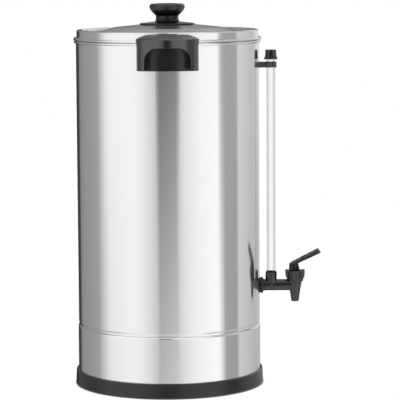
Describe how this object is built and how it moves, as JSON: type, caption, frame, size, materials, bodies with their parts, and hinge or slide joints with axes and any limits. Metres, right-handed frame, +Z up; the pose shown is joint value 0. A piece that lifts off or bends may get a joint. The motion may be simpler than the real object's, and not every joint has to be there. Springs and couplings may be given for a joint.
{
  "type": "coffee urn",
  "caption": "Brushed steel percolating coffee urn on a black base, with two grip handles, a domed lid and knob, a side lever tap and a sight glass.",
  "frame": {"origin": "on the tank's vertical axis, in the plane of the feet's undersides, where the urn stands", "axes": "+Z up along the tank's axis; +X from the axis towards the tap; the handles are at -Y (left, seen from the tap's side) and +Y"},
  "size_m": [0.326, 0.3104, 0.5024],
  "materials": {
    "brushed_steel": "brushed",
    "plain_steel": "satin",
    "aluminium": "satin",
    "element_steel": "oxidised",
    "black_plastic": "satin",
    "bracket_plastic": "gloss",
    "tap_plastic": "gloss",
    "stem_plastic": "gloss",
    "rocker_plastic": "gloss",
    "clear_tube": "clear",
    "silicone": "satin",
    "black_rubber": "matte",
    "ceramic_white": "matte",
    "brass": "satin",
    "red_lens": "gloss",
    "green_lens": "gloss",
    "wire_sleeve": "matte"
  },
  "bodies": {
    "urn": {"base_ring": "black_plastic", "bottom_plate": "plain_steel", "bottom_screws": "plain_steel", "tie_studs": "plain_steel", "tie_nuts": "plain_steel", "rubber_feet": "black_rubber", "lower_skirt": "brushed_steel", "tank_shell": "brushed_steel", "tank_floor": "brushed_steel", "brew_heater": "aluminium", "keep_warm_heater": "element_steel", "thermostat": "ceramic_white", "thermal_cutout": "ceramic_white", "terminal_block": "ceramic_white", "wiring": "wire_sleeve", "inlet_housing": "black_plastic", "inlet_pins": "brass", "switch_housing": "black_plastic", "heating_lamp": "red_lens", "ready_lamp": "green_lens", "left_handle": "black_plastic", "right_handle": "black_plastic", "handle_screws": "plain_steel", "handle_seals": "silicone", "gauge_tube": "clear_tube", "gauge_seal": "silicone", "gauge_bracket": "bracket_plastic", "bracket_screw": "plain_steel", "bracket_seal": "silicone", "tap_body": "tap_plastic", "tap_outer_gasket": "black_rubber", "tap_inner_gasket": "silicone", "tap_nut": "tap_plastic", "tap_bonnet": "tap_plastic"},
    "lid_set": {"lid": "brushed_steel", "knob_guard": "black_plastic", "lid_knob": "black_plastic", "knob_screw": "plain_steel", "knob_washer": "silicone"},
    "gauge_cap_body": {"gauge_cap": "black_plastic"},
    "valve_stem": {"tap_stem": "stem_plastic", "tap_seat_cup": "silicone", "tap_spring": "plain_steel", "lever_pin": "plain_steel"},
    "lever": {"tap_lever": "tap_plastic"},
    "rocker": {"switch_rocker": "rocker_plastic"},
    "pump": {"pump_tube": "aluminium", "pump_foot": "aluminium"},
    "basket": {"coffee_basket": "brushed_steel"},
    "spreader": {"basket_spreader": "brushed_steel"},
    "pump_disc": {"pump_valve": "plain_steel"}
  },
  "joints": [
    {"name": "lid_lift", "type": "slide", "parent": "urn", "child": "lid_set", "axis": [0, 0, 1], "range_m": [0, 0.12]},
    {"name": "lever_press", "type": "hinge", "parent": "valve_stem", "child": "lever", "pos_m": [0.1673, 0, 0.1528], "axis": [0, 1, 0], "range_deg": [0, 30]},
    {"name": "stem_lift", "type": "slide", "parent": "urn", "child": "valve_stem", "axis": [0, 0, 1], "range_m": [0, 0.00183], "stiffness_N_per_m": 300, "springref_m": -0.006, "deforming": ["tap_spring"]},
    {"name": "cap_pull", "type": "slide", "parent": "urn", "child": "gauge_cap_body", "axis": [0, 0, 1], "range_m": [0, 0.02]},
    {"name": "switch_rock", "type": "hinge", "parent": "urn", "child": "rocker", "pos_m": [0.0965, 0.06757, 0.0495], "axis": [-0.5736, 0.8192, 0], "range_deg": [0, 16]},
    {"name": "pump_lift", "type": "slide", "parent": "urn", "child": "pump", "axis": [0, 0, 1], "range_m": [0, 0.02]},
    {"name": "basket_lift", "type": "slide", "parent": "pump", "child": "basket", "axis": [0, 0, 1], "range_m": [0, 0.012]},
    {"name": "spreader_lift", "type": "slide", "parent": "basket", "child": "spreader", "axis": [0, 0, 1], "range_m": [0, 0.01]},
    {"name": "disc_hop", "type": "slide", "parent": "pump", "child": "pump_disc", "axis": [0, 0, 1], "range_m": [0, 0.002]}
  ],
  "couplings": [
    {"joint": "lever_press", "follows": "stem_lift", "rad_per_m": 285.71}
  ]
}
